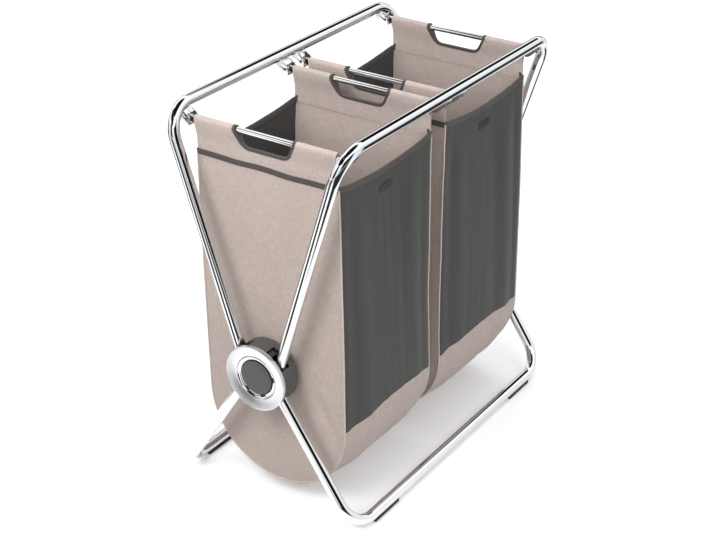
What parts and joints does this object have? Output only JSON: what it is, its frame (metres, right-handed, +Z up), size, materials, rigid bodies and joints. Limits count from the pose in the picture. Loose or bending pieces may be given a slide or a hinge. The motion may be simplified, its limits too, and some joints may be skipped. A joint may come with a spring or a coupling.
{
  "type": "folding laundry hamper",
  "caption": "Laundry hamper with two lift-out fabric bins hanging on rods from a folding cross frame of bright tube with round hinge hubs.",
  "frame": {"origin": "middle of the footprint on the floor", "axes": "+X along the rails towards the far hub, +Z up, the front is -Y"},
  "size_m": [0.6636, 0.3728, 0.6831],
  "materials": {
    "chrome": "polished",
    "satin_steel": "satin, turned",
    "zinc_steel": "plain plated",
    "grey_plastic": "fine matte",
    "dark_plastic": "matte",
    "rubber": "matte",
    "canvas": "woven canvas",
    "netting": "honeycomb mesh",
    "tape": "woven tape"
  },
  "bodies": {
    "hubs": {"near_hub_drum": "grey_plastic", "near_hub_ring": "satin_steel", "near_hub_bowl": "chrome", "near_hub_cap": "grey_plastic", "near_hub_bolt": "zinc_steel", "near_hub_nut": "zinc_steel", "far_hub_drum": "grey_plastic", "far_hub_ring": "satin_steel", "far_hub_bowl": "chrome", "far_hub_cap": "grey_plastic", "far_hub_bolt": "zinc_steel", "far_hub_nut": "zinc_steel"},
    "frame_a": {"back_upper_tube": "chrome", "front_lower_tube": "chrome", "far_hub_outer_plate": "zinc_steel", "near_hub_inner_plate": "zinc_steel", "front_near_foot": "rubber", "front_far_foot": "rubber", "back_bracket_1": "chrome", "back_bracket_2": "chrome", "back_bracket_3": "chrome", "back_bracket_4": "chrome"},
    "frame_b": {"front_upper_tube": "chrome", "back_lower_tube": "chrome", "near_hub_outer_plate": "zinc_steel", "far_hub_inner_plate": "zinc_steel", "back_near_foot": "rubber", "back_far_foot": "rubber", "front_bracket_1": "chrome", "front_bracket_2": "chrome", "front_bracket_3": "chrome", "front_bracket_4": "chrome"},
    "back_saddles": {"back_saddle_1": "dark_plastic", "back_saddle_2": "dark_plastic", "back_saddle_3": "dark_plastic", "back_saddle_4": "dark_plastic"},
    "front_saddles": {"front_saddle_1": "dark_plastic", "front_saddle_2": "dark_plastic", "front_saddle_3": "dark_plastic", "front_saddle_4": "dark_plastic"},
    "near_bag": {"near_bag_canvas": "canvas", "near_bag_tape": "tape", "near_bag_inner_grip_binding": "tape", "near_bag_outer_grip_binding": "tape", "near_bag_back_netting": "netting", "near_bag_front_netting": "netting", "near_bag_inner_rod": "chrome", "near_bag_outer_rod": "chrome", "near_bag_tag": "tape"},
    "far_bag": {"far_bag_canvas": "canvas", "far_bag_tape": "tape", "far_bag_inner_grip_binding": "tape", "far_bag_outer_grip_binding": "tape", "far_bag_back_netting": "netting", "far_bag_front_netting": "netting", "far_bag_inner_rod": "chrome", "far_bag_outer_rod": "chrome", "far_bag_tag": "tape"}
  },
  "joints": [
    {"name": "fold", "type": "hinge", "parent": "hubs", "child": "frame_a", "pos_m": [0, 0, 0.255], "axis": [1, 0, 0], "range_deg": [0, 16], "deforming": ["near_bag_canvas", "near_bag_tape", "near_bag_inner_grip_binding", "near_bag_outer_grip_binding", "near_bag_back_netting", "near_bag_front_netting", "near_bag_tag", "far_bag_canvas", "far_bag_tape", "far_bag_inner_grip_binding", "far_bag_outer_grip_binding", "far_bag_back_netting", "far_bag_front_netting", "far_bag_tag"]},
    {"name": "fold_counter", "type": "hinge", "parent": "hubs", "child": "frame_b", "pos_m": [0, 0, 0.255], "axis": [1, 0, 0], "range_deg": [-16, 0]},
    {"name": "back_saddles_level", "type": "hinge", "parent": "frame_a", "child": "back_saddles", "pos_m": [0, 0.145, 0.6558], "axis": [1, 0, 0], "range_deg": [-16, 0]},
    {"name": "front_saddles_level", "type": "hinge", "parent": "frame_b", "child": "front_saddles", "pos_m": [0, -0.145, 0.6558], "axis": [1, 0, 0], "range_deg": [0, 16]},
    {"name": "near_bag_lift", "type": "slide", "parent": "back_saddles", "child": "near_bag", "axis": [0, 0, 1], "range_m": [0, 0.7]},
    {"name": "far_bag_lift", "type": "slide", "parent": "back_saddles", "child": "far_bag", "axis": [0, 0, 1], "range_m": [0, 0.7]}
  ],
  "couplings": [
    {"joint": "fold_counter", "follows": "fold", "ratio": -1},
    {"joint": "back_saddles_level", "follows": "fold", "ratio": -1},
    {"joint": "front_saddles_level", "follows": "fold", "ratio": 1}
  ]
}
